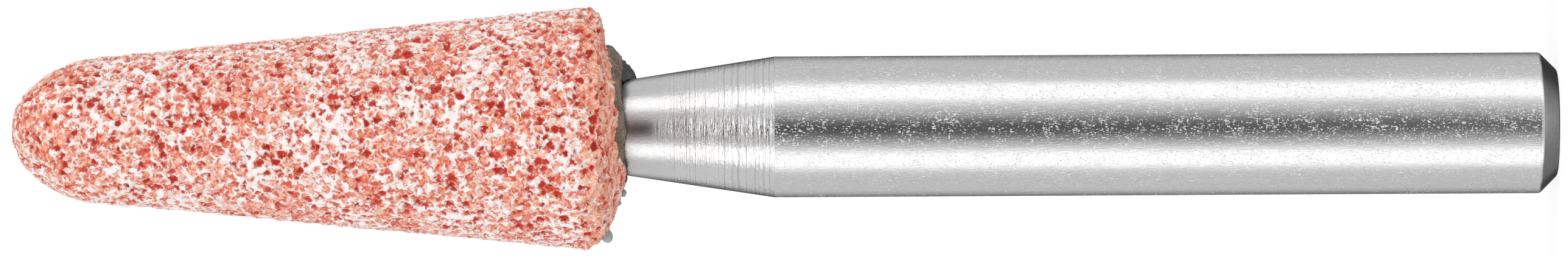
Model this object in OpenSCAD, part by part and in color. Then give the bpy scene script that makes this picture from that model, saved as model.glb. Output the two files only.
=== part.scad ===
// Mounted point: a moulded abrasive head cemented onto a turned steel shank.
// The tool axis is Z. The shank's end face lies on Z = 0 and the nose points up.
// All lengths are millimetres and all angles are degrees.

/* [Shank] */
// Diameter of the part that a collet grips
shank_d = 6; // [5:0.1:8]
// Length from the end face to the head's rear rim
shank_l = 40.8; // [30:0.2:60]
// Size of the 45 degree chamfer round the end face
end_chamfer = 0.75; // [0.3:0.05:1.2]
// Radius that breaks both edges of that chamfer
edge_r = 0.25; // [0.05:0.05:0.4]
// Length of the tapered neck behind the head
neck_l = 7.5; // [5:0.1:12]

/* [Pin inside the head] */
// Diameter of the pin that carries the head
pin_d = 3.7; // [2.8:0.1:4.4]
// Length of the pin above the rear rim
pin_l = 14; // [11:0.5:18]
// Size of the 45 degree chamfer on the tip of the pin
pin_chamfer = 0.4; // [0.1:0.05:0.8]
// Number of ring grooves that key the cement
groove_count = 4; // [1:1:4]
// Width of one ring groove
groove_w = 0.9; // [0.4:0.1:1.6]
// Depth of one ring groove
groove_depth = 0.25; // [0.1:0.05:0.5]
// Distance from one ring groove to the next
groove_pitch = 2.6; // [2:0.1:3]

/* [Abrasive head] */
// Diameter of the cone at the rear rim, before the rim is rounded
head_d = 10.5; // [9.5:0.1:16]
// Diameter that the cone runs out to at the tip of the nose
nose_d = 5.5; // [4.5:0.1:7]
// Length from the rear rim to the tip of the nose
head_l = 25; // [20:0.5:40]
// Radius of the ball at the tip of the nose
tip_r = 2.5; // [1.5:0.1:3]
// Angle between the axis and the end of that ball
tip_angle = 41; // [25:1:55]
// Radius of the domed rear face
rear_r = 10; // [8:0.5:25]
// Radius of the rounded rear rim
rim_r = 0.6; // [0.2:0.05:1]

/* [Cement] */
// Radial gap between the pin and its bore, which the cement fills
bond_gap = 0.25; // [0.1:0.05:0.5]
// Gap between the tip of the pin and the end of the bore
bond_end = 0.8; // [0.3:0.1:2]
// Diameter of the collar that was squeezed out round the neck
collar_d = 6.1; // [5.5:0.1:7]
// Thickness of the collar
collar_h = 0.95; // [0.8:0.05:1.5]
// Size of the 45 degree slope round the collar's free face
collar_slope = 0.6; // [0.2:0.05:0.7]
// Distance that the collar sits to one side of the axis
collar_offset = 0.6; // [0:0.05:1]
// Distance from the rear rim back to the collar's free face
collar_drop = 1.15; // [0.9:0.05:1.4]
// Radius of the bead where the cement ran out of the joint
bead_r = 1.34; // [0.9:0.02:1.6]
// Distance from the axis to the centre of the bead
bead_offset = 1.7; // [1.2:0.05:2]
// Angle round the axis from +X to the bead
bead_angle = 17; // [0:1:360]
// Distance from the rear rim back to the centre of the bead
bead_drop = 0.4; // [0:0.05:0.8]

/* [Hidden] */
$fn = 96;

// Overrun of a cutting solid past the face that it cuts
cut = 1;

// Heights along the axis
rim_z = shank_l;
neck_z = shank_l - neck_l;
pin_top_z = rim_z + pin_l;
bore_top_z = pin_top_z + bond_end;
tip_z = rim_z + head_l;
collar_z = rim_z - collar_drop;
collar_top_z = collar_z + collar_h;

// Radii
shank_r = shank_d / 2;
pin_r = pin_d / 2;
rim_edge_r = head_d / 2;
bore_r = pin_r + bond_gap;
neck_slope = (shank_r - pin_r) / neck_l;
collar_r = collar_d / 2;

// The cone's side runs from the rear rim to the nose, leaning in by side_angle
side_angle = atan((rim_edge_r - nose_d / 2) / head_l);
side_start = [rim_edge_r, rim_z];
side_up = [-sin(side_angle), cos(side_angle)];
side_in = [-cos(side_angle), -sin(side_angle)];

// The rear face is part of a ball whose centre lies on the axis above the rim
dome_centre = [0, rim_z + sqrt(rear_r ^ 2 - rim_edge_r ^ 2)];
dome_z = dome_centre.y - rear_r;

// The rim's round touches the cone's side and the ball of the rear face from inside
rim_base = side_start + side_in * rim_r;
rim_reach = rim_base - dome_centre;
rim_along = rim_reach * side_up;
rim_slide = -rim_along - sqrt(rim_along ^ 2 - rim_reach * rim_reach + (rear_r - rim_r) ^ 2);
rim_centre = rim_base + side_up * rim_slide;
rim_on_side = rim_centre - side_in * rim_r;
rim_on_dome = dome_centre + unit(rim_centre - dome_centre) * rear_r;

// The nose is a ball at the tip and a larger arc that runs from it into the cone's side
tip_centre = [0, tip_z - tip_r];
tip_normal = [sin(tip_angle), cos(tip_angle)];
tip_end = tip_centre + tip_normal * tip_r;
side_r_at_tip_end = rim_edge_r - (tip_end.y - rim_z) * tan(side_angle);
flank_spread = cos(side_angle) - tip_normal.x - tan(side_angle) * (tip_normal.y - sin(side_angle));
flank_r = (side_r_at_tip_end - tip_end.x) / flank_spread;
flank_centre = tip_end - tip_normal * flank_r;
flank_end = flank_centre - side_in * flank_r;

function unit(v) = v / norm(v);

// Half the angle inside a corner b whose neighbours are a and c
function half_angle(a, b, c) = acos(unit(a - b) * unit(c - b)) / 2;

// Where a round of radius r at corner b leaves the edge towards a
function round_start(a, b, c, r) = b + unit(a - b) * r / tan(half_angle(a, b, c));

// Centre of a round of radius r at corner b
function round_centre(a, b, c, r) = b + unit(unit(a - b) + unit(c - b)) * r / sin(half_angle(a, b, c));

// Radius of the neck's surface at height z
function neck_r(z) = pin_r + (rim_z - z) * neck_slope;

// Closed outline through [radius, height, round] corners, each outward corner with its own round
module rounded_outline(corners) {
    count = len(corners);
    point = [for (corner = corners) [corner.x, corner.y]];
    before = [for (i = [0:count - 1]) point[(i + count - 1) % count]];
    after = [for (i = [0:count - 1]) point[(i + 1) % count]];
    polygon([
        for (i = [0:count - 1])
            each corners[i].z > 0
                ? [
                    round_start(before[i], point[i], after[i], corners[i].z),
                    round_start(after[i], point[i], before[i], corners[i].z)
                ]
                : [point[i]]
    ]);
    for (i = [0:count - 1])
        if (corners[i].z > 0)
            translate(round_centre(before[i], point[i], after[i], corners[i].z)) circle(corners[i].z);
}

// The part of a disc that lies right of the axis, between two heights
module disc_band(centre, radius, low, high) {
    intersection() {
        translate(centre) circle(radius);
        translate([0, low]) square([centre.x + radius + cut, high - low]);
    }
}

// Ring grooves near the tip of the pin, from the top one down
module key_grooves() {
    top_z = pin_top_z - pin_chamfer - groove_pitch;
    for (i = [0:groove_count - 1])
        translate([0, 0, top_z - i * groove_pitch])
            difference() {
                cylinder(h = groove_w, r = pin_r + cut);
                translate([0, 0, -cut]) cylinder(h = groove_w + 2 * cut, r = pin_r - groove_depth);
            }
}

// Turned steel: chamfered grip, tapered neck and grooved pin in one piece
module shank_solid() {
    difference() {
        rotate_extrude() rounded_outline([
            [0, 0, 0],
            [shank_r - end_chamfer, 0, edge_r],
            [shank_r, end_chamfer, edge_r],
            [shank_r, neck_z, 0],
            [pin_r, rim_z, 0],
            [pin_r, pin_top_z - pin_chamfer, 0],
            [pin_r - pin_chamfer, pin_top_z, 0],
            [0, pin_top_z, 0]
        ]);
        key_grooves();
    }
}

// Cone with a rounded nose, a rounded rear rim and a domed rear face, before it is bored
module head_blank() {
    rotate_extrude() {
        polygon([
            [0, rim_on_dome.y],
            rim_on_dome,
            rim_on_side,
            flank_end,
            tip_end,
            [0, tip_end.y]
        ]);
        translate(rim_centre) circle(rim_r);
        disc_band(dome_centre, rear_r, dome_z - cut, rim_on_dome.y);
        disc_band(flank_centre, flank_r, flank_end.y, tip_end.y);
        disc_band(tip_centre, tip_r, tip_end.y, tip_z + cut);
    }
}

// The blind bore, whose mouth widens along the neck down to height low
module bore_space(low) {
    rotate_extrude() polygon([
        [0, low],
        [neck_r(low) + bond_gap, low],
        [bore_r, rim_z],
        [bore_r, bore_top_z],
        [0, bore_top_z]
    ]);
}

// The collar round the neck and the bead beside it, before the neck is cut out of them
module squeezed_out() {
    translate([collar_offset, 0, 0])
        rotate_extrude() rounded_outline([
            [0, collar_z, 0],
            [collar_r - collar_slope, collar_z, edge_r],
            [collar_r, collar_z + collar_slope, edge_r],
            [collar_r, collar_top_z, 0],
            [0, collar_top_z, 0]
        ]);
    intersection() {
        rotate([0, 0, bead_angle])
            translate([bead_offset, 0, rim_z - bead_drop]) sphere(bead_r);
        translate([0, 0, collar_top_z - 2 * bead_r])
            cylinder(h = 2 * bead_r, r = bead_offset + bead_r + cut);
    }
}

module shank() {
    color("silver") shank_solid();
}

module cement_bond() {
    color("#75695d")
        difference() {
            union() {
                bore_space(collar_z);
                squeezed_out();
            }
            shank_solid();
        }
}

module abrasive_head() {
    color("#e39a88")
        difference() {
            head_blank();
            squeezed_out();
            bore_space(min(dome_z, collar_z) - cut);
        }
}

shank();
cement_bond();
abrasive_head();
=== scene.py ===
"""Looks of a mounted point: a rough pink abrasive head, lumpy cement and a turned steel shank.

The row frame is in metres, with the tool axis on Z, the shank's end face on Z = 0 and the nose up.
Sizes in this file are millimetres unless a name says otherwise.
"""

from __future__ import annotations

import logging
import math
from dataclasses import dataclass
from enum import Enum
from functools import partial
from typing import Any, Callable, NamedTuple, Union

import bmesh
import bpy
import numpy as np
from mathutils import Matrix, Vector, noise

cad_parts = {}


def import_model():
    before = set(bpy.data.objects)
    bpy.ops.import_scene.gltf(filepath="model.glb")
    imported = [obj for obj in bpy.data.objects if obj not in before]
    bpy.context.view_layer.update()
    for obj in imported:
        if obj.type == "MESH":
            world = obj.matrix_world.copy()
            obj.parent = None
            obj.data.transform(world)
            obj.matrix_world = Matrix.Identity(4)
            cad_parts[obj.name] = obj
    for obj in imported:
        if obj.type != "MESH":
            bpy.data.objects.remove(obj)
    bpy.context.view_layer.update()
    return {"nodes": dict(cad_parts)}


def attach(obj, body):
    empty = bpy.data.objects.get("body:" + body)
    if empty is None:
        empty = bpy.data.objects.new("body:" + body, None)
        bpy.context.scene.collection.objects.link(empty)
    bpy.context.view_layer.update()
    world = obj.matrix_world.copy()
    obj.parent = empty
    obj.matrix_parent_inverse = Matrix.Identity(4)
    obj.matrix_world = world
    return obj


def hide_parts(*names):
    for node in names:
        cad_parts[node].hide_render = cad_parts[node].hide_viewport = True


LOG = logging.getLogger("mounted_point")

Node = bpy.types.Node
Socket = bpy.types.NodeSocket
Tree = bpy.types.NodeTree
Object = bpy.types.Object
Material = bpy.types.Material
Link = Union[Node, Socket]
Adder = Callable[..., Node]
Inputs = Union[dict[Union[int, str], Any], tuple[Any, ...]]
Colour = tuple[float, float, float, float]

MM = 0.001
PER_MM = (1 / MM,) * 3
IMAGE_WIDTH_PX = 2576
PX_PER_MM = 38.58
WHITE: Colour = (1.0, 1.0, 1.0, 1.0)

# Heights of the head's rear rim and of the start of the neck, and the centre of the cement's bead
RIM_Z = 40.8
NECK_Z = 33.3
BEAD_AT = (1.626, 0.497, 40.4)


class Band(Enum):
    """Which side of the tool, as the camera sees it, a lamp stands on."""

    UPPER = 1
    LOWER = -1


class Ramp(NamedTuple):
    """How a value that runs from start to end turns into one that runs from low to high."""

    start: float = 0.0
    end: float = 1.0
    low: float = 0.0
    high: float = 1.0

    def reading(self, value: Link) -> Inputs:
        """Lists the inputs of a node that maps a value by this ramp.

        Args:
            value: The node or socket that gives the value.

        Returns:
            Socket names with what goes into them.
        """
        names = ("From Min", "From Max", "To Min", "To Max")
        return {"Value": value, **dict(zip(names, self))}


def limit(value: float) -> float:
    """Keeps a number between 0 and 1."""
    return min(1.0, max(0.0, value))


def linear(hex_code: str) -> Colour:
    """Turns an sRGB hex value into a linear colour.

    Args:
        hex_code: Six hex digits after a hash sign.

    Returns:
        Linear red, green and blue, and an alpha of 1.
    """
    channels = [int(hex_code[i : i + 2], 16) / 255 for i in (1, 3, 5)]
    steps = [c / 12.92 if c <= 0.04045 else ((c + 0.055) / 1.055) ** 2.4 for c in channels]
    return (steps[0], steps[1], steps[2], 1.0)


def add_node(tree: Tree, kind: str, inputs: Inputs = (), **settings: Any) -> Node:
    """Adds a node with its settings, and sets or links its inputs.

    Args:
        tree: The node tree that gets the node.
        kind: Blender's name for the node's type.
        inputs: What goes into its sockets, in their order or by name or index: a value, an output
            socket to link from, or a node, whose first output in use is linked.
        **settings: Properties of the node itself.

    Returns:
        The new node.
    """
    node = tree.nodes.new(kind)
    for name, value in settings.items():
        setattr(node, name, value)
    for key, value in inputs.items() if isinstance(inputs, dict) else enumerate(inputs):
        if isinstance(value, Node):
            value = next(socket for socket in value.outputs if socket.enabled)
        if isinstance(value, Socket):
            tree.links.new(value, node.inputs[key])
        else:
            node.inputs[key].default_value = value
    return node


def new_material(name: str) -> tuple[Material, Adder]:
    """Makes a material with an empty node tree.

    Args:
        name: The material's common name and how its surface was made.

    Returns:
        The material, and add_node for its tree.
    """
    material = bpy.data.materials.new(name)
    material.use_nodes = True
    material.node_tree.nodes.clear()
    return material, partial(add_node, material.node_tree)


def new_object(name: str, data: bpy.types.ID) -> Object:
    """Makes an object of a mesh, lamp or camera and puts it into the scene.

    Args:
        name: The object's name.
        data: What it is made of.

    Returns:
        The new object.
    """
    made = bpy.data.objects.new(name, data)
    bpy.context.scene.collection.objects.link(made)
    return made


def arc(centre: np.ndarray, radius: float, start: float, end: float, steps: int) -> np.ndarray:
    """Points of an arc in the half-plane of radius and height.

    Args:
        centre: Radius and height of the arc's centre.
        radius: The arc's own radius.
        start: Angle from the upward axis where it starts, in degrees.
        end: Angle from the upward axis where it ends, in degrees.
        steps: Number of steps along it.

    Returns:
        An array of (radius, height) rows.
    """
    angle = np.radians(np.linspace(start, end, steps + 1))
    return np.stack([centre[0] + radius * np.sin(angle), centre[1] + radius * np.cos(angle)], axis=1)


def resample(path: np.ndarray, spacing: float) -> np.ndarray:
    """Places points evenly along a path.

    Args:
        path: Rows of (radius, height).
        spacing: Wanted distance between points.

    Returns:
        Rows of (radius, height), with the path's two ends kept.
    """
    length = np.concatenate([[0.0], np.cumsum(np.linalg.norm(np.diff(path, axis=0), axis=1))])
    wanted = np.linspace(0.0, length[-1], max(2, round(length[-1] / spacing) + 1))
    return np.stack([np.interp(wanted, length, path[:, i]) for i in (0, 1)], axis=1)


def ring_mesh(name: str, profile: np.ndarray, counts: np.ndarray) -> Object:
    """Turns a profile about Z into a mesh whose rings can differ in vertex count.

    Args:
        name: The object's name.
        profile: Rows of (radius, height), with a radius of 0 at a pole.
        counts: Vertices in each ring, 1 at a pole.

    Returns:
        A smooth-shaded object in the row frame.
    """
    first = np.concatenate([[0], np.cumsum(counts)])
    places: list[np.ndarray] = []
    for i, ((radius, height), count) in enumerate(zip(profile, counts)):
        angle = 2 * np.pi * (np.arange(count) + 0.5 * (i % 2)) / count
        ring = [radius * np.cos(angle), radius * np.sin(angle), np.full(count, height)]
        places.append(np.stack(ring, axis=1))
    faces: list[tuple[int, int, int]] = []
    for i in range(len(profile) - 1):
        a, b, na, nb = first[i], first[i + 1], counts[i], counts[i + 1]
        ia = ib = 0
        turns_a, turns_b = (na if na > 1 else 0), (nb if nb > 1 else 0)
        while ia < turns_a or ib < turns_b:
            if ib >= turns_b or (ia < turns_a and (ia + 1) * nb <= (ib + 1) * na):
                faces.append((a + ia % na, b + ib % nb, a + (ia + 1) % na))
                ia += 1
            else:
                faces.append((a + ia % na, b + ib % nb, b + (ib + 1) % nb))
                ib += 1
    mesh = bpy.data.meshes.new(name)
    mesh.from_pydata(np.concatenate(places) * MM, [], faces)
    work = bmesh.new()
    work.from_mesh(mesh)
    bmesh.ops.recalc_face_normals(work, faces=work.faces)
    work.to_mesh(mesh)
    work.free()
    mesh.shade_smooth()
    return new_object(name, mesh)


def push_out(piece: Object, amount: Callable[[Vector], float]) -> None:
    """Moves each vertex along its normal.

    Args:
        piece: The object whose mesh is changed.
        amount: Gives the distance in millimetres for a place in millimetres.
    """
    vertices = piece.data.vertices
    places = np.empty(len(vertices) * 3)
    normals = np.empty(len(vertices) * 3)
    vertices.foreach_get("co", places)
    vertices.foreach_get("normal", normals)
    rows = places.reshape(-1, 3)
    steps = np.array([amount(Vector(row / MM)) for row in rows])
    rows += normals.reshape(-1, 3) * steps[:, None] * MM
    vertices.foreach_set("co", rows.ravel())
    piece.data.update()


def settle(piece: Object) -> None:
    """Replaces a piece's mesh by what its modifiers make of it, and removes them.

    Args:
        piece: The object whose mesh is replaced.
    """
    view = bpy.context.evaluated_depsgraph_get()
    made = bpy.data.meshes.new_from_object(piece.evaluated_get(view))
    old = piece.data
    piece.modifiers.clear()
    piece.data = made
    bpy.data.meshes.remove(old)


@dataclass(frozen=True)
class Relief:
    """Nodes that describe the dressed abrasive: its height in mm, and the others from 0 to 1."""

    height: Node
    powder: Node
    pore: Node
    tone: Node


@dataclass(frozen=True)
class FusedAlumina:
    """Pink fused aluminium oxide in a glassy bond, moulded, fired and dressed with a hard wheel.

    Dressing leaves white powder on the grains' tops, in patches joined by strands. Salmon grains stand
    a little lower between them, and the pores look deep red because light comes back out of them
    tinted; that red, deeper at each pore's centre as shade, is painted into the colour. Where the wheel
    did not reach, the grains keep a fresher coral and carry less powder, and there the colour is also
    painted lighter as painted light, since the rear rim turns away from the lamps.
    """

    dust_hex: str = "#f6edec"
    chalk_hex: str = "#e9d4d7"
    pale_hex: str = "#f2c9ba"
    pink_hex: str = "#eea28a"
    salmon_hex: str = "#e6745a"
    brick_hex: str = "#d04a34"
    # Pore reds are painted light: light coming back tinted out of the pores, deeper at their centres as
    # painted shade
    pore_painted_red_hex: str = "#dc4a34"
    pore_painted_core_hex: str = "#d02c20"
    amber_hex: str = "#f3c597"
    lifted_coral_hex: str = "#ffae90"
    cream_hex: str = "#f2cfbd"
    mauve_hex: str = "#de9da4"

    # Sizes of the patterns
    patch_mm: float = 0.32
    strand_mm: float = 0.41
    warp_mm: float = 0.24
    warp_reach_mm: float = 0.2
    clump_mm: float = 2.4
    tone_mm: float = 0.17
    blotch_mm: float = 0.43
    fine_mm: float = 0.07
    pore_mm: float = 0.35
    cavern_mm: float = 2.6
    hue_mm: float = 0.26
    glint_mm: float = 0.1

    # Powder, where the sum of its patterns is high enough, with less of it on undressed parts
    strand: Ramp = Ramp(0.0, 0.2, 0.2, 0.0)
    clump_share: float = 0.35
    ragged_share: float = 0.16
    bare: Ramp = Ramp(low=-0.12, high=0.0)
    powder: Ramp = Ramp(0.77, 0.98)

    # Pores, of which few are wide, with torn outlines and more of them on undressed parts
    few_power: float = 1.5
    span: Ramp = Ramp(low=-0.16, high=0.48)
    painted_sheen_share: float = 0.35
    loose: Ramp = Ramp(low=0.1, high=0.0)
    small: Ramp = Ramp(0.0, 0.34, 0.0, 0.9)
    room: Ramp = Ramp(low=-0.04, high=0.13)
    wide: Ramp = Ramp(0.0, 0.07)

    # Tone of the grains: the halo round a pore also takes off the mean that the blotches add
    blotch_share: float = 0.7
    halo: Ramp = Ramp(-0.35, 0.1, -0.35, -0.48)
    # Where the wheel did not reach, a lower centre paints the grains lighter, as painted light for the rear
    # rim, which turns away from the lamps
    usual: Ramp = Ramp(low=0.45, high=0.5)
    fresh: Ramp = Ramp(low=3.2, high=1.3)
    usual_lightness: float = 0.495
    tone_stops: tuple[float, ...] = (0.3, 0.44, 0.57, 0.72)

    # Heights in millimetres
    grain_height: Ramp = Ramp(0.3, 0.7, -0.08, -0.02)
    pore_depth_mm: float = 0.2
    fine_height_mm: float = 0.03

    # Shares of the other colours
    warm: Ramp = Ramp(low=0.08, high=0.0)
    amber: Ramp = Ramp(0.53, 0.7, 0.0, 0.55)
    mauve: Ramp = Ramp(0.46, 0.3, 0.0, 0.55)
    # More coral where the wheel did not reach: the fresher grains' own hue, lifted as painted light for the
    # rear rim, which turns away from the lamps
    raw: Ramp = Ramp(low=0.42, high=0.0)
    thin: Ramp = Ramp(0.0, 0.5, 0.0, 0.8)
    thick: Ramp = Ramp(0.2, 1.0)
    # The pores' painted red, and their centres painted deeper as painted shade
    pore_painted_red: Ramp = Ramp(0.0, 0.5, 0.0, 0.95)
    pore_painted_core: Ramp = Ramp(0.5, 1.0)

    # Painted glints on grain faces, white dots painted into the colour as highlights and given a lower
    # roughness, and how matt the rest is
    odds: Ramp = Ramp(low=0.7, high=0.86)
    glint_reach: float = 0.45
    glint_roughness: float = 0.3
    matt: Ramp = Ramp(low=0.42, high=0.85)
    bump_strength: float = 0.6
    specular_level: float = 0.4

    def relief(self, add: Adder, place: Link, dressed: Link) -> Relief:
        """Adds the nodes that shape the surface, in a shader or a geometry tree.

        Args:
            add: Adds a node to that tree.
            place: The undisturbed place in millimetres.
            dressed: How far the surface was dressed, from 0 to 1.

        Returns:
            The nodes for the height, the powder, the pores and the grains' tone.
        """
        ripple = add("ShaderNodeTexNoise", {"Vector": place, "Scale": 1 / self.warp_mm, "Detail": 2.0})
        swing = add("ShaderNodeVectorMath", (ripple.outputs["Color"], (0.5,) * 3), operation="SUBTRACT")
        reach = (2 * self.warp_reach_mm,) * 3
        spot = add("ShaderNodeVectorMath", (swing, reach, place), operation="MULTIPLY_ADD")
        fine, clump, tone, patch, blotch = (
            add("ShaderNodeTexNoise", {"Vector": where, "Scale": 1 / size, "Detail": detail})
            for where, size, detail in (
                (place, self.fine_mm, 2.0),
                (place, self.clump_mm, 1.5),
                (spot, self.tone_mm, 3.0),
                (spot, self.patch_mm, 2.0),
                (spot, self.blotch_mm, 2.0),
            )
        )
        bare, loose = (add("ShaderNodeMapRange", ramp.reading(dressed)) for ramp in (self.bare, self.loose))

        # Powder lies in patches joined by strands, more in some areas than in others
        wall = add(
            "ShaderNodeTexVoronoi", {"Vector": spot, "Scale": 1 / self.strand_mm}, feature="DISTANCE_TO_EDGE"
        )
        strand = add("ShaderNodeMapRange", self.strand.reading(wall))
        level = patch
        for part, share in ((strand, 1.0), (clump, self.clump_share), (fine, self.ragged_share), (bare, 1.0)):
            level = add("ShaderNodeMath", (part, share, level), operation="MULTIPLY_ADD")
        powder = add("ShaderNodeMapRange", self.powder.reading(level), interpolation_type="SMOOTHSTEP")

        # Small pores of many sizes, and a few caverns where whole grains fell out
        hollow, cavern = (
            add("ShaderNodeTexVoronoi", {"Vector": spot, "Scale": 1 / cell_mm})
            for cell_mm in (self.pore_mm, self.cavern_mm)
        )
        own, size = (add("ShaderNodeSeparateXYZ", (cell.outputs["Color"],)) for cell in (hollow, cavern))
        few = add("ShaderNodeMath", (own, self.few_power), operation="POWER")
        inside = add("ShaderNodeMapRange", self.span.reading(few))
        for part, share in ((tone, self.painted_sheen_share), (loose, 1.0), (hollow, -1.0)):
            inside = add("ShaderNodeMath", (part, share, inside), operation="MULTIPLY_ADD")
        small = add("ShaderNodeMapRange", self.small.reading(inside))
        room = add("ShaderNodeMapRange", self.room.reading(size))
        within = add("ShaderNodeMath", (room, cavern), operation="SUBTRACT")
        wide = add("ShaderNodeMapRange", self.wide.reading(within))
        pore = add("ShaderNodeMath", (small, wide), operation="MAXIMUM")

        # The tone wanders in blotches and darkens round each pore
        halo = add("ShaderNodeMapRange", self.halo.reading(inside))
        shaded = tone
        for part, share in ((blotch, self.blotch_share), (halo, 1.0)):
            shaded = add("ShaderNodeMath", (part, share, shaded), operation="MULTIPLY_ADD")

        # Grains lie below the powder's level and pores below the grains
        grains = add("ShaderNodeMapRange", self.grain_height.reading(tone))
        open_share = add("ShaderNodeMath", (1.0, powder), operation="SUBTRACT")
        height = add("ShaderNodeMath", (grains, open_share), operation="MULTIPLY")
        for part, rise in ((pore, -self.pore_depth_mm), (fine, self.fine_height_mm)):
            height = add("ShaderNodeMath", (part, rise, height), operation="MULTIPLY_ADD")
        return Relief(height, powder, pore, shaded)

    def modifier_tree(self) -> Tree:
        """Builds the geometry nodes that push a skin in by the relief and keep the undisturbed place.

        Returns:
            A geometry node tree for a Nodes modifier.
        """
        tree = bpy.data.node_groups.new("dressed_abrasive_relief", "GeometryNodeTree")
        add = partial(add_node, tree)
        for way in ("INPUT", "OUTPUT"):
            tree.interface.new_socket("Geometry", in_out=way, socket_type="NodeSocketGeometry")
        source = add("NodeGroupInput")
        spot = add("GeometryNodeInputPosition")
        place = add("ShaderNodeVectorMath", (spot, PER_MM), operation="MULTIPLY")
        dressed, skin = (
            add("GeometryNodeInputNamedAttribute", {"Name": name}, data_type="FLOAT")
            for name in ("dressed", "skin")
        )
        relief = self.relief(add, place, dressed)
        depth = add("ShaderNodeMath", (relief.height, skin), operation="MULTIPLY")
        metres = add("ShaderNodeMath", (depth, MM), operation="MULTIPLY")
        out = add("GeometryNodeInputNormal")
        push = add("ShaderNodeVectorMath", {0: out, "Scale": metres}, operation="SCALE")
        kept = add(
            "GeometryNodeStoreNamedAttribute",
            {"Geometry": source, "Name": "undisturbed", "Value": place},
            data_type="FLOAT_VECTOR",
            domain="POINT",
        )
        moved = add("GeometryNodeSetPosition", {"Geometry": kept, "Offset": push})
        add("NodeGroupOutput", (moved,))
        return tree

    def material(self) -> Material:
        """Builds the material, whose colours follow the same relief as the mesh.

        Returns:
            The finished material.
        """
        material, add = new_material("Pink fused alumina, fired and dressed")
        place = add("ShaderNodeAttribute", attribute_name="undisturbed").outputs["Vector"]
        dressed = add("ShaderNodeAttribute", attribute_name="dressed").outputs["Fac"]
        relief = self.relief(add, place, dressed)
        fresh, usual, warm, raw, odds = (
            add("ShaderNodeMapRange", ramp.reading(dressed))
            for ramp in (self.fresh, self.usual, self.warm, self.raw, self.odds)
        )

        # Grains run from brick to pale, with more contrast where the wheel did not reach, and lighter there:
        # painted light for the rear rim, which turns away from the lamps
        middle = add("ShaderNodeMath", (relief.tone, usual), operation="SUBTRACT")
        lightness = add("ShaderNodeMath", (middle, fresh, self.usual_lightness), operation="MULTIPLY_ADD")
        colour = add("ShaderNodeValToRGB", (lightness,))
        stops = colour.color_ramp.elements
        tones = (self.brick_hex, self.salmon_hex, self.pink_hex, self.pale_hex)
        while len(stops) < len(tones):
            stops.new(0.5)
        for stop, position, tone in zip(stops, self.tone_stops, tones):
            stop.position = position
            stop.color = linear(tone)

        # A few bare grain faces get a painted glint: a white dot painted into the colour as a highlight, more
        # of them where the wheel did not reach
        sparkle = add("ShaderNodeTexVoronoi", {"Vector": place, "Scale": 1 / self.glint_mm})
        chance = add("ShaderNodeSeparateXYZ", (sparkle.outputs["Color"],))
        lit = add("ShaderNodeMath", (chance, odds), operation="GREATER_THAN")
        reach = add("ShaderNodeMath", (chance.outputs[1], self.glint_reach), operation="MULTIPLY")
        near = add("ShaderNodeMath", (sparkle, reach), operation="LESS_THAN")
        painted_glint = add("ShaderNodeMath", (lit, near), operation="MULTIPLY")

        # Over the grains' own colour lie warmer and cooler tints, a coral that is partly painted light,
        # powder, the pores' painted red and the painted glints
        hue = add("ShaderNodeTexNoise", {"Vector": place, "Scale": 1 / self.hue_mm, "Detail": 2.0})
        warmth = add("ShaderNodeMath", (hue, warm), operation="ADD")
        amber, mauve, thin, thick, matt, pore_painted_red, pore_painted_core = (
            add("ShaderNodeMapRange", ramp.reading(value))
            for ramp, value in (
                (self.amber, warmth),
                (self.mauve, warmth),
                (self.thin, relief.powder),
                (self.thick, relief.powder),
                (self.matt, relief.powder),
                (self.pore_painted_red, relief.pore),
                (self.pore_painted_core, relief.pore),
            )
        )
        chalk = add(
            "ShaderNodeMix", {0: mauve, 6: linear(self.dust_hex), 7: linear(self.chalk_hex)}, data_type="RGBA"
        )
        for share, over in (
            (amber, linear(self.amber_hex)),
            (mauve, linear(self.mauve_hex)),
            # Coral where undressed: fresher grains, and partly painted light
            (raw, linear(self.lifted_coral_hex)),
            (thin, linear(self.cream_hex)),
            (thick, chalk),
            # Painted light in the pores: their tinted red, and painted shade at their centres
            (pore_painted_red, linear(self.pore_painted_red_hex)),
            (pore_painted_core, linear(self.pore_painted_core_hex)),
            (painted_glint, linear(self.dust_hex)),
        ):
            colour = add("ShaderNodeMix", {0: share, 6: colour, 7: over}, data_type="RGBA")
        rough = add("ShaderNodeMapRange", {"Value": painted_glint, "To Min": matt, "To Max": self.glint_roughness})
        bump = add(
            "ShaderNodeBump", {"Strength": self.bump_strength, "Distance": MM, "Height": relief.height}
        )
        surface = add(
            "ShaderNodeBsdfPrincipled",
            {
                "Base Color": colour,
                "Roughness": rough,
                "Normal": bump,
                "Specular IOR Level": self.specular_level,
            },
        )
        add("ShaderNodeOutputMaterial", (surface,))
        return material


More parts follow.
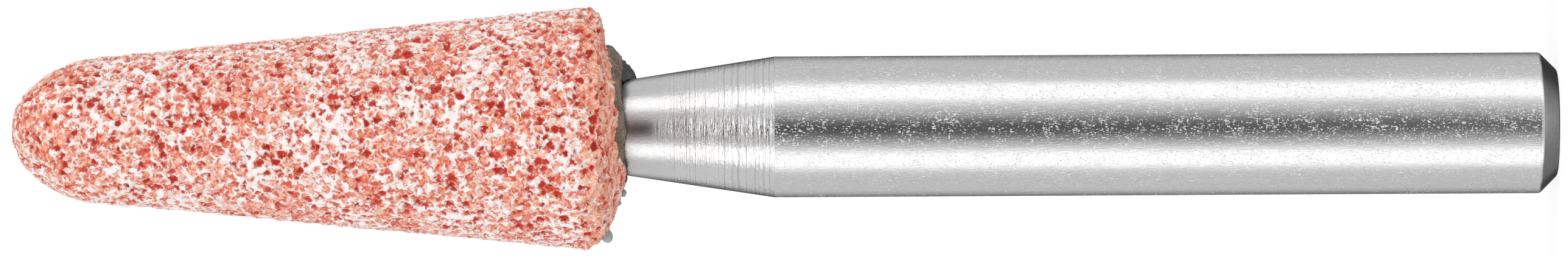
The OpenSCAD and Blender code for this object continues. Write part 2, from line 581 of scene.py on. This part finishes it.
@dataclass(frozen=True)
class TurnedSteel:
    """Carbon steel bar, drawn bright, with its neck and chamfer turned on a lathe.

    The grip keeps a drawn grain and small flecks along it, and some short strokes round it from handling.
    The neck keeps the turning tool's torn rings, which catch light that the grip does not, deepest next
    to the grip and gone near the head. The chamfer keeps finer ones. On the neck the colour is painted
    brighter as a painted sheen for the light the rings catch, and the rings' valleys are painted darker
    as painted shade.
    """

    metal_hex: str = "#bfbfbf"
    grime_and_shade_hex: str = "#989898"
    scuff_and_sheen_hex: str = "#e0e0e0"
    roughness: float = 0.27
    scuffed_roughness: float = 0.58
    torn_roughness: float = -0.1
    # How far the neck's colour is brightened, a painted sheen for the light its rings catch
    painted_sheen_share: float = 0.22

    # Sizes of the marks, round the shank and along it
    fleck_mm: tuple[float, float] = (0.055, 0.11)
    grain_mm: tuple[float, float] = (0.04, 0.3)
    stroke_mm: tuple[float, float] = (0.3, 0.05)
    wave_mm: tuple[float, float] = (0.7, 1.6)
    crowd_mm: float = 10 / 11
    faint_mm: float = 0.22
    ring_mm: float = 0.12

    # Where along the shank the turned parts lie, and how far the rings' flanks lean towards the head
    chamfer_end_mm: float = 0.76
    ring_end_mm: float = 38.5
    ring_fade_mm: float = 1.4
    ring_rest: float = 0.02
    ring_lean: float = 0.17
    ease_mm: float = 2.0

    # How high a pattern has to be before it marks the steel
    crowd_share: float = 0.2
    flecked: Ramp = Ramp(0.69, 0.79)
    stroked: Ramp = Ramp(0.745, 0.845)
    force: Ramp = Ramp(0.35, 0.65, 0.3, 1.0)
    broken: Ramp = Ramp(0.3, 0.6, 0.6, 1.0)
    # Where the rings' valleys are painted darker, as painted shade
    valley: Ramp = Ramp(0.48, 0.34)
    soil: Ramp = Ramp(0.35, 0.7, 0.0, 0.4)

    fleck_depth_mm: float = 0.009
    grain_depth_mm: float = 0.003
    wave_depth_mm: float = 0.008
    ring_depth_mm: float = 0.035
    tear_depth_mm: float = 0.02
    chamfer_depth_mm: float = 0.008

    def material(self) -> Material:
        """Builds the material.

        Returns:
            The finished material.
        """
        material, add = new_material("Carbon steel, drawn and turned")
        spot = add("ShaderNodeTexCoord").outputs["Object"]
        place = add("ShaderNodeVectorMath", (spot, PER_MM), operation="MULTIPLY")
        along = add("ShaderNodeSeparateXYZ", (place,)).outputs[2]
        marks: list[Node] = []
        for width, length in (self.fleck_mm, self.grain_mm, self.stroke_mm, self.wave_mm):
            stretch = (1 / width, 1 / width, 1 / length)
            scaled = add("ShaderNodeVectorMath", (place, stretch), operation="MULTIPLY")
            marks.append(add("ShaderNodeTexNoise", {"Vector": scaled, "Scale": 1.0, "Detail": 2.5}))
        fleck, grain, stroke, wave = marks
        past_grip = add("ShaderNodeMath", (along, NECK_Z), operation="GREATER_THAN")
        on_chamfer = add("ShaderNodeMath", (along, self.chamfer_end_mm), operation="LESS_THAN")
        turned = add("ShaderNodeMath", (past_grip, on_chamfer), operation="MAXIMUM")

        # Scuffs lie on the grip only, closer together in some areas, and scatter light where they cut
        crowd, faint = (
            add("ShaderNodeTexNoise", {"Vector": place, "Scale": 1 / size, "Detail": detail})
            for size, detail in ((self.crowd_mm, 2.0), (self.faint_mm, 1.0))
        )
        force, broken, soil = (
            add("ShaderNodeMapRange", ramp.reading(value))
            for ramp, value in ((self.force, faint), (self.broken, wave), (self.soil, grain))
        )
        cuts: list[Node] = []
        for level, ramp in ((fleck, self.flecked), (stroke, self.stroked)):
            for part, share in ((crowd, self.crowd_share), (turned, -1.0)):
                level = add("ShaderNodeMath", (part, share, level), operation="MULTIPLY_ADD")
            cuts.append(add("ShaderNodeMapRange", ramp.reading(level), interpolation_type="SMOOTHSTEP"))
        either = add("ShaderNodeMath", (cuts[0], cuts[1]), operation="MAXIMUM")
        scuffs = add("ShaderNodeMath", (either, force), operation="MULTIPLY")

        # The rings fade towards the head and break up a little round the neck
        rings = add(
            "ShaderNodeTexNoise",
            {"W": along, "Scale": 1 / self.ring_mm, "Detail": 2.5, "Roughness": 0.7},
            noise_dimensions="1D",
        )
        fading = Ramp(self.ring_end_mm, self.ring_end_mm - self.ring_fade_mm, self.ring_rest)
        fade = add("ShaderNodeMapRange", fading.reading(along))
        faded = add("ShaderNodeMath", (fade, past_grip), operation="MULTIPLY")
        neck = add("ShaderNodeMath", (faded, broken), operation="MULTIPLY")
        torn_neck = add("ShaderNodeMath", (faded, stroke), operation="MULTIPLY")
        short_of = add("ShaderNodeMath", (self.ring_end_mm, along), operation="SUBTRACT")
        eased = add("ShaderNodeMath", (short_of, 0.0, self.ease_mm), operation="SMOOTH_MAX")
        lean = add("ShaderNodeMath", (eased, self.ring_lean), operation="MULTIPLY")
        leaning = add("ShaderNodeMath", (lean, past_grip), operation="MULTIPLY")

        # All marks together give the height
        neck_cut = add("ShaderNodeMath", (neck, self.ring_depth_mm), operation="MULTIPLY")
        cut = add("ShaderNodeMath", (on_chamfer, self.chamfer_depth_mm, neck_cut), operation="MULTIPLY_ADD")
        height = leaning
        for mark, rise in (
            (rings, cut),
            (scuffs, -self.fleck_depth_mm),
            (torn_neck, self.tear_depth_mm),
            (grain, self.grain_depth_mm),
            (wave, self.wave_depth_mm),
        ):
            height = add("ShaderNodeMath", (mark, rise, height), operation="MULTIPLY_ADD")
        bump = add("ShaderNodeBump", {"Strength": 1.0, "Distance": MM, "Height": height})

        # The rings' valleys are painted darker as painted shade, and the grain carries a darker tone.
        # Scuffed metal is brighter, and the neck is painted brighter as a painted sheen
        # Painted shade: the rings' valleys are darkened in the colour
        valley = add("ShaderNodeMapRange", self.valley.reading(rings))
        valley_shade = add("ShaderNodeMath", (valley, neck), operation="MULTIPLY")
        darkened = add("ShaderNodeMath", (valley_shade, soil), operation="MAXIMUM")
        # Painted sheen: the neck's colour is brightened for the light its rings catch; scuffs are brighter
        # cut metal
        bared_and_sheen = add("ShaderNodeMath", (neck, self.painted_sheen_share, scuffs), operation="MULTIPLY_ADD")
        colour: Colour | Node = linear(self.metal_hex)
        for share, over in ((darkened, self.grime_and_shade_hex), (bared_and_sheen, self.scuff_and_sheen_hex)):
            colour = add("ShaderNodeMix", {0: share, 6: colour, 7: linear(over)}, data_type="RGBA")
        matt = Ramp(low=self.roughness, high=self.scuffed_roughness)
        rough = add("ShaderNodeMapRange", matt.reading(scuffs))
        torn = add("ShaderNodeMath", (neck, self.torn_roughness, rough), operation="MULTIPLY_ADD")
        surface = add(
            "ShaderNodeBsdfPrincipled",
            {"Base Color": colour, "Metallic": 1.0, "Roughness": torn, "Normal": bump},
        )
        add("ShaderNodeOutputMaterial", (surface,))
        return material


@dataclass(frozen=True)
class BondingCement:
    """Mineral bonding cement, pressed out of the joint and left to set.

    The free face is matt and crumbly, taupe with paler and darker lumps. The bead that ran along the steel
    set smooth and dark grey, and a thin rim of the same dark grey next to the steel is painted shade in the
    joint. The drops that spattered beside the joint set pale grey.
    """

    taupe_hex: str = "#7d6c5d"
    pale_hex: str = "#a08d7a"
    dark_hex: str = "#574a40"
    slate_and_shade_hex: str = "#4b4b4d"
    drop_hex: str = "#a2adae"
    lump_mm: float = 0.45
    crumb_mm: float = 0.07
    crumb_depth_mm: float = 0.06
    lumps: Ramp = Ramp(0.35, 0.55)
    crumbs: Ramp = Ramp(0.5, 0.75)
    bead_reach: Ramp = Ramp(1.4, 1.5, 1.0, 0.0)
    # A thin rim next to the steel, painted dark grey as painted shade in the joint
    gap_shade_radius: Ramp = Ramp(2.12, 2.27, 0.9, 0.0)
    drops_below_mm: float = -2.5
    matt: Ramp = Ramp(low=0.85, high=0.42)
    bump_strength: float = 0.5
    ior: float = 1.5

    def material(self) -> Material:
        """Builds the material.

        Returns:
            The finished material.
        """
        material, add = new_material("Mineral cement, pressed out and set")
        spot = add("ShaderNodeTexCoord").outputs["Object"]
        place = add("ShaderNodeVectorMath", (spot, PER_MM), operation="MULTIPLY")
        lumps, crumbs = (
            add("ShaderNodeTexNoise", {"Vector": place, "Scale": 1 / size, "Detail": detail})
            for size, detail in ((self.lump_mm, 4.0), (self.crumb_mm, 3.0))
        )
        away = add("ShaderNodeVectorMath", (place, BEAD_AT), operation="DISTANCE")
        flat = add("ShaderNodeVectorMath", (place, (1.0, 1.0, 0.0)), operation="MULTIPLY")
        radius = add("ShaderNodeVectorMath", (flat,), operation="LENGTH")
        lump, crumb, ran, gap_shade = (
            add("ShaderNodeMapRange", ramp.reading(value))
            for ramp, value in (
                (self.lumps, lumps),
                (self.crumbs, crumbs),
                (self.bead_reach, away),
                (self.gap_shade_radius, radius),
            )
        )
        # The bead's own dark grey, and painted shade next to the steel in the same grey
        smooth = add("ShaderNodeMath", (ran, gap_shade), operation="MAXIMUM")
        across = add("ShaderNodeSeparateXYZ", (place,))
        drop = add("ShaderNodeMath", (across, self.drops_below_mm), operation="LESS_THAN")
        colour: Colour | Node = linear(self.dark_hex)
        for share, over in (
            (lump, self.taupe_hex),
            (crumb, self.pale_hex),
            (smooth, self.slate_and_shade_hex),
            (drop, self.drop_hex),
        ):
            colour = add("ShaderNodeMix", {0: share, 6: colour, 7: linear(over)}, data_type="RGBA")
        rough = add("ShaderNodeMapRange", self.matt.reading(ran))
        bump = add(
            "ShaderNodeBump",
            {"Strength": self.bump_strength, "Distance": self.crumb_depth_mm * MM, "Height": crumbs},
        )
        surface = add(
            "ShaderNodeBsdfPrincipled",
            {"Base Color": colour, "Roughness": rough, "Normal": bump, "IOR": self.ior},
        )
        add("ShaderNodeOutputMaterial", (surface,))
        return material


@dataclass
class AbrasiveHead:
    """The conical head with a rounded nose, a broken rear rim and a domed, bored rear face."""

    rim_radius: float = 5.25
    nose_radius: float = 2.75
    length: float = 25.0
    tip_r: float = 2.5
    tip_angle: float = 41.0
    rear_r: float = 10.0
    rim_r: float = 0.6
    mouth_radius: float = 2.3
    bore_radius: float = 2.1
    bore_top: float = 55.6
    bore_margin: float = 0.1
    spacing: float = 0.096
    bore_spacing: float = 0.6

    # Dressing, as heights above the rear rim, heights below the tip, and the share left at the tip
    dressed_from: tuple[float, float] = (0.2, 1.0)
    dressed_to: tuple[float, float] = (3.2, 0.8)
    tip_dressed: float = 0.7

    # Run-out of the whole head, and its grains, which dressing cuts down
    inset: float = 0.03
    run_out_mm: float = 2.6
    run_out: float = 0.05
    grain_mm: float = 0.33
    grain_height: float = 0.15
    cut_down: float = 0.7

    # Chips along the rim, each coarse one with finer ones in it, and wear on the side of the collar
    chip_mm: float = 0.9
    chip_depth: float = 0.42
    chip_level: float = 0.2
    chip_band: float = 1.3
    finer: float = 2.3
    finer_share: float = 0.6
    worn_depth: float = 0.1
    worn_band: float = 0.8

    # Hollows in the rear face that the cement lies in
    shoulder: float = 0.2
    shoulder_width: float = 1.2
    seat_side: float = 0.75
    seat_blend: float = 0.3
    seat_depth: float = 0.1
    recess_depth: float = 0.3
    mouth_depth: float = 0.3
    mouth_margin: float = 0.6
    mouth_blend: float = 0.4

    def outline(self) -> np.ndarray:
        """Lays out the head's outside from the tip of the nose to the mouth of the bore.

        Returns:
            Rows of (radius, height).
        """
        lean = math.atan((self.rim_radius - self.nose_radius) / self.length)
        up = np.array([-math.sin(lean), math.cos(lean)])
        inward = np.array([-math.cos(lean), -math.sin(lean)])
        side_turn = 90 - math.degrees(lean)

        # A ball at the tip and a larger arc from it into the cone's side
        tip_centre = np.array([0.0, RIM_Z + self.length - self.tip_r])
        turn = math.radians(self.tip_angle)
        tip_normal = np.array([math.sin(turn), math.cos(turn)])
        tip_end = tip_centre + tip_normal * self.tip_r
        side = self.rim_radius - (tip_end[1] - RIM_Z) * math.tan(lean)
        spread = math.cos(lean) - tip_normal[0] - math.tan(lean) * (tip_normal[1] - math.sin(lean))
        flank_r = (side - tip_end[0]) / spread
        flank_centre = tip_end - tip_normal * flank_r

        # The rim's round touches the side and the ball of the rear face
        dome_centre = np.array([0.0, RIM_Z + math.sqrt(self.rear_r**2 - self.rim_radius**2)])
        base = np.array([self.rim_radius, RIM_Z]) + inward * self.rim_r
        reach = base - dome_centre
        along = float(reach @ up)
        slide = -along - math.sqrt(along**2 - float(reach @ reach) + (self.rear_r - self.rim_r) ** 2)
        rim_centre = base + up * slide
        touch = (rim_centre - dome_centre) / np.linalg.norm(rim_centre - dome_centre)
        dome_turn = 180 - math.degrees(math.asin(touch[0]))
        mouth_turn = 180 - math.degrees(math.asin(self.mouth_radius / self.rear_r))
        return np.concatenate(
            [
                arc(tip_centre, self.tip_r, 0.0, self.tip_angle, 40),
                arc(flank_centre, flank_r, self.tip_angle, side_turn, 40)[1:],
                arc(rim_centre, self.rim_r, side_turn, dome_turn, 16),
                arc(dome_centre, self.rear_r, dome_turn, mouth_turn, 24)[1:],
            ]
        )

    def dressed(self, height: float | np.ndarray) -> np.ndarray:
        """Says how far the dressing wheel reached at a height.

        Args:
            height: One height or an array of them.

        Returns:
            A share from 0 at the rear face to 1 along the side, and less at the nose's tip.
        """
        tip_z = RIM_Z + self.length
        ends = [*(RIM_Z + z for z in self.dressed_from), *(tip_z - z for z in self.dressed_to)]
        return np.interp(height, ends, [0.0, 1.0, 1.0, self.tip_dressed])

    def chipped(self, place: Vector) -> float:
        """Says how far the surface stands out at a place, with a broken rear rim and a slight run-out.

        Args:
            place: A place on the head's outside or in its bore.

        Returns:
            The distance in millimetres, negative where it is broken away.
        """
        out = place.xy.length
        in_bore = RIM_Z - self.bore_margin < place.z < self.bore_top + self.bore_margin
        if in_bore and out < self.mouth_radius:
            return 0.0
        behind = place.z < RIM_Z
        from_rim = abs(place.z - RIM_Z)
        side = place.x / max(out, 0.1)
        facing = max(0.0, side)
        covered = limit((side + self.seat_side) / self.seat_blend)
        reach = limit((self.rim_radius - self.shoulder - out) / self.shoulder_width) if behind else 0.0

        wave = noise.noise(place / self.run_out_mm) * self.run_out
        raw = 1.0 - self.cut_down * float(self.dressed(place.z))
        wave += noise.noise(place / self.grain_mm) * self.grain_height * raw
        wave = min(wave, self.grain_height * (1.0 - reach))

        coarse = place / self.chip_mm
        rough = noise.noise(coarse) + self.finer_share * noise.noise(coarse * self.finer)
        broken = max(0.0, rough + self.chip_level) * self.chip_depth * limit(1.0 - from_rim / self.chip_band)
        broken += reach * (self.seat_depth * covered + self.recess_depth * facing**3)
        broken += self.worn_depth * facing**2 * limit(1.0 - from_rim / self.worn_band)
        if behind:
            past_mouth = self.mouth_radius + self.mouth_margin - out
            broken += self.mouth_depth * covered * limit(past_mouth / self.mouth_blend)
        return wave - self.inset - broken

    def build(self, finish: FusedAlumina) -> Object:
        """Makes the head's mesh and dresses it.

        Args:
            finish: The abrasive it is made of.

        Returns:
            The piece, riding on the body and standing for its solid.
        """
        skin = resample(self.outline(), self.spacing)
        bore = np.array([(self.bore_radius, RIM_Z), (self.bore_radius, self.bore_top), (0.0, self.bore_top)])
        profile = np.concatenate([skin, bore])
        gaps = np.repeat([self.spacing, self.bore_spacing], [len(skin), len(bore)])
        counts = np.maximum(6, np.round(2 * np.pi * profile[:, 0] / gaps)).astype(int)
        counts[profile[:, 0] < 1e-6] = 1
        piece = ring_mesh("dressed_head", profile, counts)
        on_skin = np.repeat([1.0, 0.0], [len(skin) - 1, len(bore) + 1])
        for name, value in (("skin", on_skin), ("dressed", self.dressed(profile[:, 1]))):
            attribute = piece.data.attributes.new(name, "FLOAT", "POINT")
            attribute.data.foreach_set("value", np.repeat(value, counts))
        push_out(piece, self.chipped)
        # The edge of the mouth moves along the bore only
        first = int(counts[: len(skin) - 1].sum())
        for vertex in piece.data.vertices[first : first + int(counts[len(skin) - 1])]:
            vertex.co.xy = vertex.co.xy.normalized() * self.mouth_radius * MM
        relief = piece.modifiers.new("relief", "NODES")
        relief.node_group = finish.modifier_tree()
        settle(piece)
        piece.data.materials.append(finish.material())
        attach(piece, "root")
        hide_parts("abrasive_head")
        return piece


@dataclass
class CementBond:
    """The cement round the pin, with its lumpy collar, the bead beside the neck and a few drops."""

    voxel: float = 0.08
    lump_mm: float = 0.7
    lump_height: float = 0.12
    crumb_mm: float = 0.22
    crumb_height: float = 0.05
    crumb_shift: tuple[float, float, float] = (7.0, 3.0, 1.0)
    visible_below: float = 40.7
    collar_below: float = 39.5
    bead_r: float = 1.34
    bead_margin: float = 0.1
    set_back: float = 0.18
    set_back_from: float = 0.3
    set_back_width: float = 2.0
    # Each drop's centre and its three radii
    drops: tuple[tuple[float, ...], ...] = (
        (-2.8, 0.15, 39.76, 0.2, 0.18, 0.16),
        (-3.22, 0.2, 39.93, 0.16, 0.14, 0.13),
        (-4.6, 0.15, 40.48, 0.26, 0.2, 0.2),
    )

    def lumpy(self, place: Vector) -> float:
        """Says how far the free face stands out at a place.

        Args:
            place: A place on the cement's surface.

        Returns:
            The distance in millimetres, 0 inside the bore.
        """
        if place.z > self.visible_below:
            return 0.0
        lump = noise.noise(place / self.lump_mm) * self.lump_height
        on_bead = abs((place - Vector(BEAD_AT)).length - self.bead_r) < self.bead_margin
        if place.z > self.collar_below and not on_bead:
            lump -= self.set_back * limit((place.x + self.set_back_from) / self.set_back_width)
        return lump + noise.noise(place / self.crumb_mm + Vector(self.crumb_shift)) * self.crumb_height

    def build(self, solid: Object, finish: BondingCement) -> Object:
        """Makes the cement's mesh over its solid and dresses it.

        Args:
            solid: The CAD node that the mesh starts from.
            finish: The cement it is made of.

        Returns:
            The piece, riding on the body and standing for its solid.
        """
        piece = new_object("set_cement", solid.data.copy())
        piece.data.materials.clear()
        remesh = piece.modifiers.new("even_faces", "REMESH")
        remesh.mode = "VOXEL"
        remesh.voxel_size = self.voxel * MM
        settle(piece)
        work = bmesh.new()
        work.from_mesh(piece.data)
        for x, y, z, *radii in self.drops:
            spot = Matrix.Translation(Vector((x, y, z)) * MM)
            shape = Matrix.Diagonal((*(r * MM for r in radii), 1.0))
            bmesh.ops.create_icosphere(work, subdivisions=3, radius=1.0, matrix=spot @ shape)
        work.to_mesh(piece.data)
        work.free()
        piece.data.shade_smooth()
        push_out(piece, self.lumpy)
        piece.data.materials.append(finish.material())
        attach(piece, "root")
        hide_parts("cement_bond")
        return piece


@dataclass
class Shank:
    """The turned steel shank: chamfered grip, tapered neck and grooved pin."""

    radius: float = 3.0
    chamfer: float = 0.75
    edge_r: float = 0.25
    pin_radius: float = 1.85
    pin_top: float = 54.8
    pin_chamfer: float = 0.4
    groove_count: int = 4
    groove_width: float = 0.9
    groove_depth: float = 0.25
    groove_pitch: float = 2.6
    segments: int = 192
    sharp_degrees: float = 6.0

    def outline(self) -> np.ndarray:
        """Lays out the shank's outside from the centre of its end face to the tip of its pin.

        Returns:
            Rows of (radius, height).
        """
        tuck = self.edge_r * math.tan(math.radians(45 / 2))
        inner = np.array([self.radius - self.chamfer - tuck, self.edge_r])
        outer = np.array([self.radius - self.edge_r, self.chamfer + tuck])
        rows = [
            np.array([(0.0, 0.0)]),
            arc(inner, self.edge_r, 180.0, 135.0, 10),
            arc(outer, self.edge_r, 135.0, 90.0, 10),
            np.array([(self.radius, NECK_Z), (self.pin_radius, RIM_Z)]),
        ]
        chamfer_z = self.pin_top - self.pin_chamfer
        floor = self.pin_radius - self.groove_depth
        for i in reversed(range(self.groove_count)):
            low = chamfer_z - self.groove_pitch - i * self.groove_pitch
            high = low + self.groove_width
            groove = [(self.pin_radius, low), (floor, low), (floor, high), (self.pin_radius, high)]
            rows.append(np.array(groove))
        tip = (self.pin_radius - self.pin_chamfer, self.pin_top)
        rows.append(np.array([(self.pin_radius, chamfer_z), tip, (0.0, self.pin_top)]))
        return np.concatenate(rows)

    def build(self, finish: TurnedSteel) -> Object:
        """Makes the shank's mesh and dresses it.

        Args:
            finish: The steel it is made of.

        Returns:
            The piece, riding on the body and standing for its solid.
        """
        profile = self.outline()
        counts = np.where(profile[:, 0] < 1e-6, 1, self.segments)
        piece = ring_mesh("turned_shank", profile, counts)
        piece.data.set_sharp_from_angle(angle=math.radians(self.sharp_degrees))
        piece.data.materials.append(finish.material())
        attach(piece, "root")
        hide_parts("shank")
        return piece


@dataclass
class Studio:
    """Pale floor, white surround, three soft lamps, grey cards for the steel to mirror, and the camera."""

    middle_z: float = 32.9
    distance: float = 464.0
    aim_x: float = -0.0907
    roll: float = 0.0055
    sensor: float = 36.0
    clip_m: tuple[float, float] = (0.01, 10.0)
    floor_side: float = 4000.0
    paper_hex: str = "#e8e8e8"
    shade: float = 0.2
    floor_glow: Ramp = Ramp(0.02, 0.2, 0.82, 1.0)
    lamp_distance: float = 300.0
    lamp_angle: float = 57.0
    lamp_width: float = 170.0
    lamp_height: float = 900.0
    lamp_radiance: float = 1.35
    fill: float = 0.73
    card_middle: float = 0.16

    def background_rays(self, add: Adder) -> Link:
        """Adds the nodes that tell the rays which see the background as white.

        Args:
            add: Adds a node to the floor's material or to the world.

        Returns:
            The node that gives 1 on camera, glossy and transmission rays, and 0 on the others.
        """
        ray = add("ShaderNodeLightPath").outputs
        seen: Link = ray["Is Camera Ray"]
        for name in ("Is Glossy Ray", "Is Transmission Ray"):
            seen = add("ShaderNodeMath", (seen, ray[name]), operation="MAXIMUM")
        return seen

    def floor(self) -> None:
        """Lays a pale floor under the shank's end, which shows the tool's faint shadow."""
        side = self.floor_side / 2 * MM
        mesh = bpy.data.meshes.new("floor")
        corners = [(-side, -side, 0), (side, -side, 0), (side, side, 0), (-side, side, 0)]
        mesh.from_pydata(corners, [], [(0, 1, 2, 3)])
        material, add = new_material("White paper, matt")
        spot = add("ShaderNodeTexCoord").outputs["Object"]
        away = add("ShaderNodeVectorMath", (spot,), operation="LENGTH")
        open_floor = add("ShaderNodeMapRange", self.floor_glow.reading(away))
        paper = add("ShaderNodeBsdfDiffuse", {"Color": linear(self.paper_hex)})
        shade = add("ShaderNodeBsdfDiffuse", {"Color": (self.shade, self.shade, self.shade, 1.0)})
        glow = add("ShaderNodeEmission", {"Color": WHITE, "Strength": open_floor})
        bright = add("ShaderNodeAddShader", (glow, shade))
        mix = add("ShaderNodeMixShader", (self.background_rays(add), paper, bright))
        add("ShaderNodeOutputMaterial", (mix,))
        mesh.materials.append(material)
        plane = new_object("floor", mesh)
        plane.visible_glossy = False
        plane.visible_shadow = False

    def surround(self) -> None:
        """Makes the world white where it is seen or mirrored, and a plain fill light elsewhere."""
        world = bpy.data.worlds.new("white_surround")
        world.use_nodes = True
        world.node_tree.nodes.clear()
        add = partial(add_node, world.node_tree)
        lit = Ramp(low=self.fill, high=1.0).reading(self.background_rays(add))
        strength = add("ShaderNodeMapRange", lit)
        light = add("ShaderNodeBackground", {"Color": WHITE, "Strength": strength})
        add("ShaderNodeOutputWorld", (light,))
        bpy.context.scene.world = world

    def lamp(self, name: str, out: Vector, distance: float, width: float, height: float) -> None:
        """Hangs one soft lamp that faces the tool.

        Args:
            name: The lamp's name.
            out: Direction from the tool to the lamp.
            distance: How far away it hangs.
            width: Its width across the tool's axis.
            height: Its length along the tool's axis.
        """
        light = bpy.data.lights.new(name, "AREA")
        light.shape = "RECTANGLE"
        light.size = width * MM
        light.size_y = height * MM
        light.energy = self.lamp_radiance * math.pi * light.size * light.size_y
        stand = new_object(name, light)
        stand.location = out.normalized() * distance * MM + Vector((0.0, 0.0, self.middle_z * MM))
        stand.rotation_mode = "QUATERNION"
        stand.rotation_quaternion = (-out).to_track_quat("-Z", "Y")

    def card(
        self, name: str, centre: Vector, across: Vector, along: Vector, value: float, edge: float
    ) -> None:
        """Stands a grey card that only mirrors see, lighter towards its two sides.

        Args:
            name: The card's name.
            centre: Its middle.
            across: From its middle to one side.
            along: From its middle to its end.
            value: How bright its middle looks, from 0 to 1.
            edge: How bright its sides look.
        """
        corners = [centre + a * across + b * along for a, b in ((-1, -1), (1, -1), (1, 1), (-1, 1))]
        mesh = bpy.data.meshes.new(name)
        mesh.from_pydata([corner * MM for corner in corners], [], [(0, 1, 2, 3)])
        mesh.attributes.new("across", "FLOAT", "POINT").data.foreach_set("value", (-1.0, 1.0, 1.0, -1.0))
        material, add = new_material(f"Grey card, {name}")
        aside = add("ShaderNodeAttribute", attribute_name="across").outputs["Fac"]
        far = add("ShaderNodeMath", (aside,), operation="ABSOLUTE")
        brightness = Ramp(self.card_middle, 1.0, value, edge).reading(far)
        strength = add("ShaderNodeMapRange", brightness, interpolation_type="SMOOTHSTEP")
        grey = add("ShaderNodeEmission", {"Color": WHITE, "Strength": strength})
        add("ShaderNodeOutputMaterial", (grey,))
        mesh.materials.append(material)
        card = new_object(name, mesh)
        card.visible_camera = False
        card.visible_diffuse = False
        card.visible_shadow = False

    def camera(self) -> None:
        """Sets up the camera: the tool lies across the frame, nose to the left."""
        data = bpy.data.cameras.new("camera")
        data.sensor_width = self.sensor
        data.lens = self.sensor * self.distance * PX_PER_MM / IMAGE_WIDTH_PX
        data.clip_start, data.clip_end = self.clip_m
        cos, sin = math.cos(self.roll), math.sin(self.roll)
        right = Vector((-sin, 0.0, -cos))
        up = Vector((cos, 0.0, -sin))
        back = Vector((0.0, -1.0, 0.0))
        place = Vector((self.aim_x, -self.distance, self.middle_z)) * MM
        camera = new_object("camera", data)
        camera.matrix_world = Matrix.Translation(place) @ Matrix((right, up, back)).transposed().to_4x4()
        bpy.context.scene.camera = camera

    def build(self) -> None:
        """Sets up the whole stage."""
        bpy.context.scene.view_settings.view_transform = "Standard"
        self.floor()
        self.surround()
        turn = math.radians(self.lamp_angle)
        for band in Band:
            out = Vector((band.value * math.sin(turn), -math.cos(turn), 0.0))
            name = f"soft_lamp_{band.name.lower()}"
            self.lamp(name, out, self.lamp_distance, self.lamp_width, self.lamp_height)
        self.lamp("soft_lamp_nose", Vector((0.0, -1.0, 1.4)), distance=600.0, width=300.0, height=380.0)
        side, back, up = Vector((1.0, 0.0, 0.0)), Vector((0.0, 1.0, 0.0)), Vector((0.0, 0.0, 1.0))
        for name, centre, across, along, value, edge in (
            ("card_by_camera", (-45.0, -600.0, 130.0), side * 350, up * 300, 0.01, 0.95),
            ("card_behind", (0.0, 400.0, 200.0), side * 480, up * 320, 0.08, 1.0),
            ("card_behind_low", (0.0, 395.0, -410.0), side * 600, up * 290, 0.02, 0.08),
            ("card_below_upper", (250.0, 270.0, -300.0), back * 290, side * 250, 0.03, 0.42),
            ("card_below_lower", (-250.0, 270.0, -300.0), back * 290, side * 250, 0.25, 0.3),
        ):
            self.card(name, Vector(centre), across, along, value, edge)
        self.camera()


def main() -> None:
    """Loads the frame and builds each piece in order."""
    logging.basicConfig(level=logging.INFO, format="%(name)s: %(message)s")
    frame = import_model()
    pieces = [
        Shank().build(TurnedSteel()),
        CementBond().build(frame["nodes"]["cement_bond"], BondingCement()),
        AbrasiveHead().build(FusedAlumina()),
    ]
    Studio().build()
    for piece in pieces:
        LOG.info("%s: %d faces, %s", piece.name, len(piece.data.polygons), piece.data.materials[0].name)


if __name__ == "__main__":
    main()
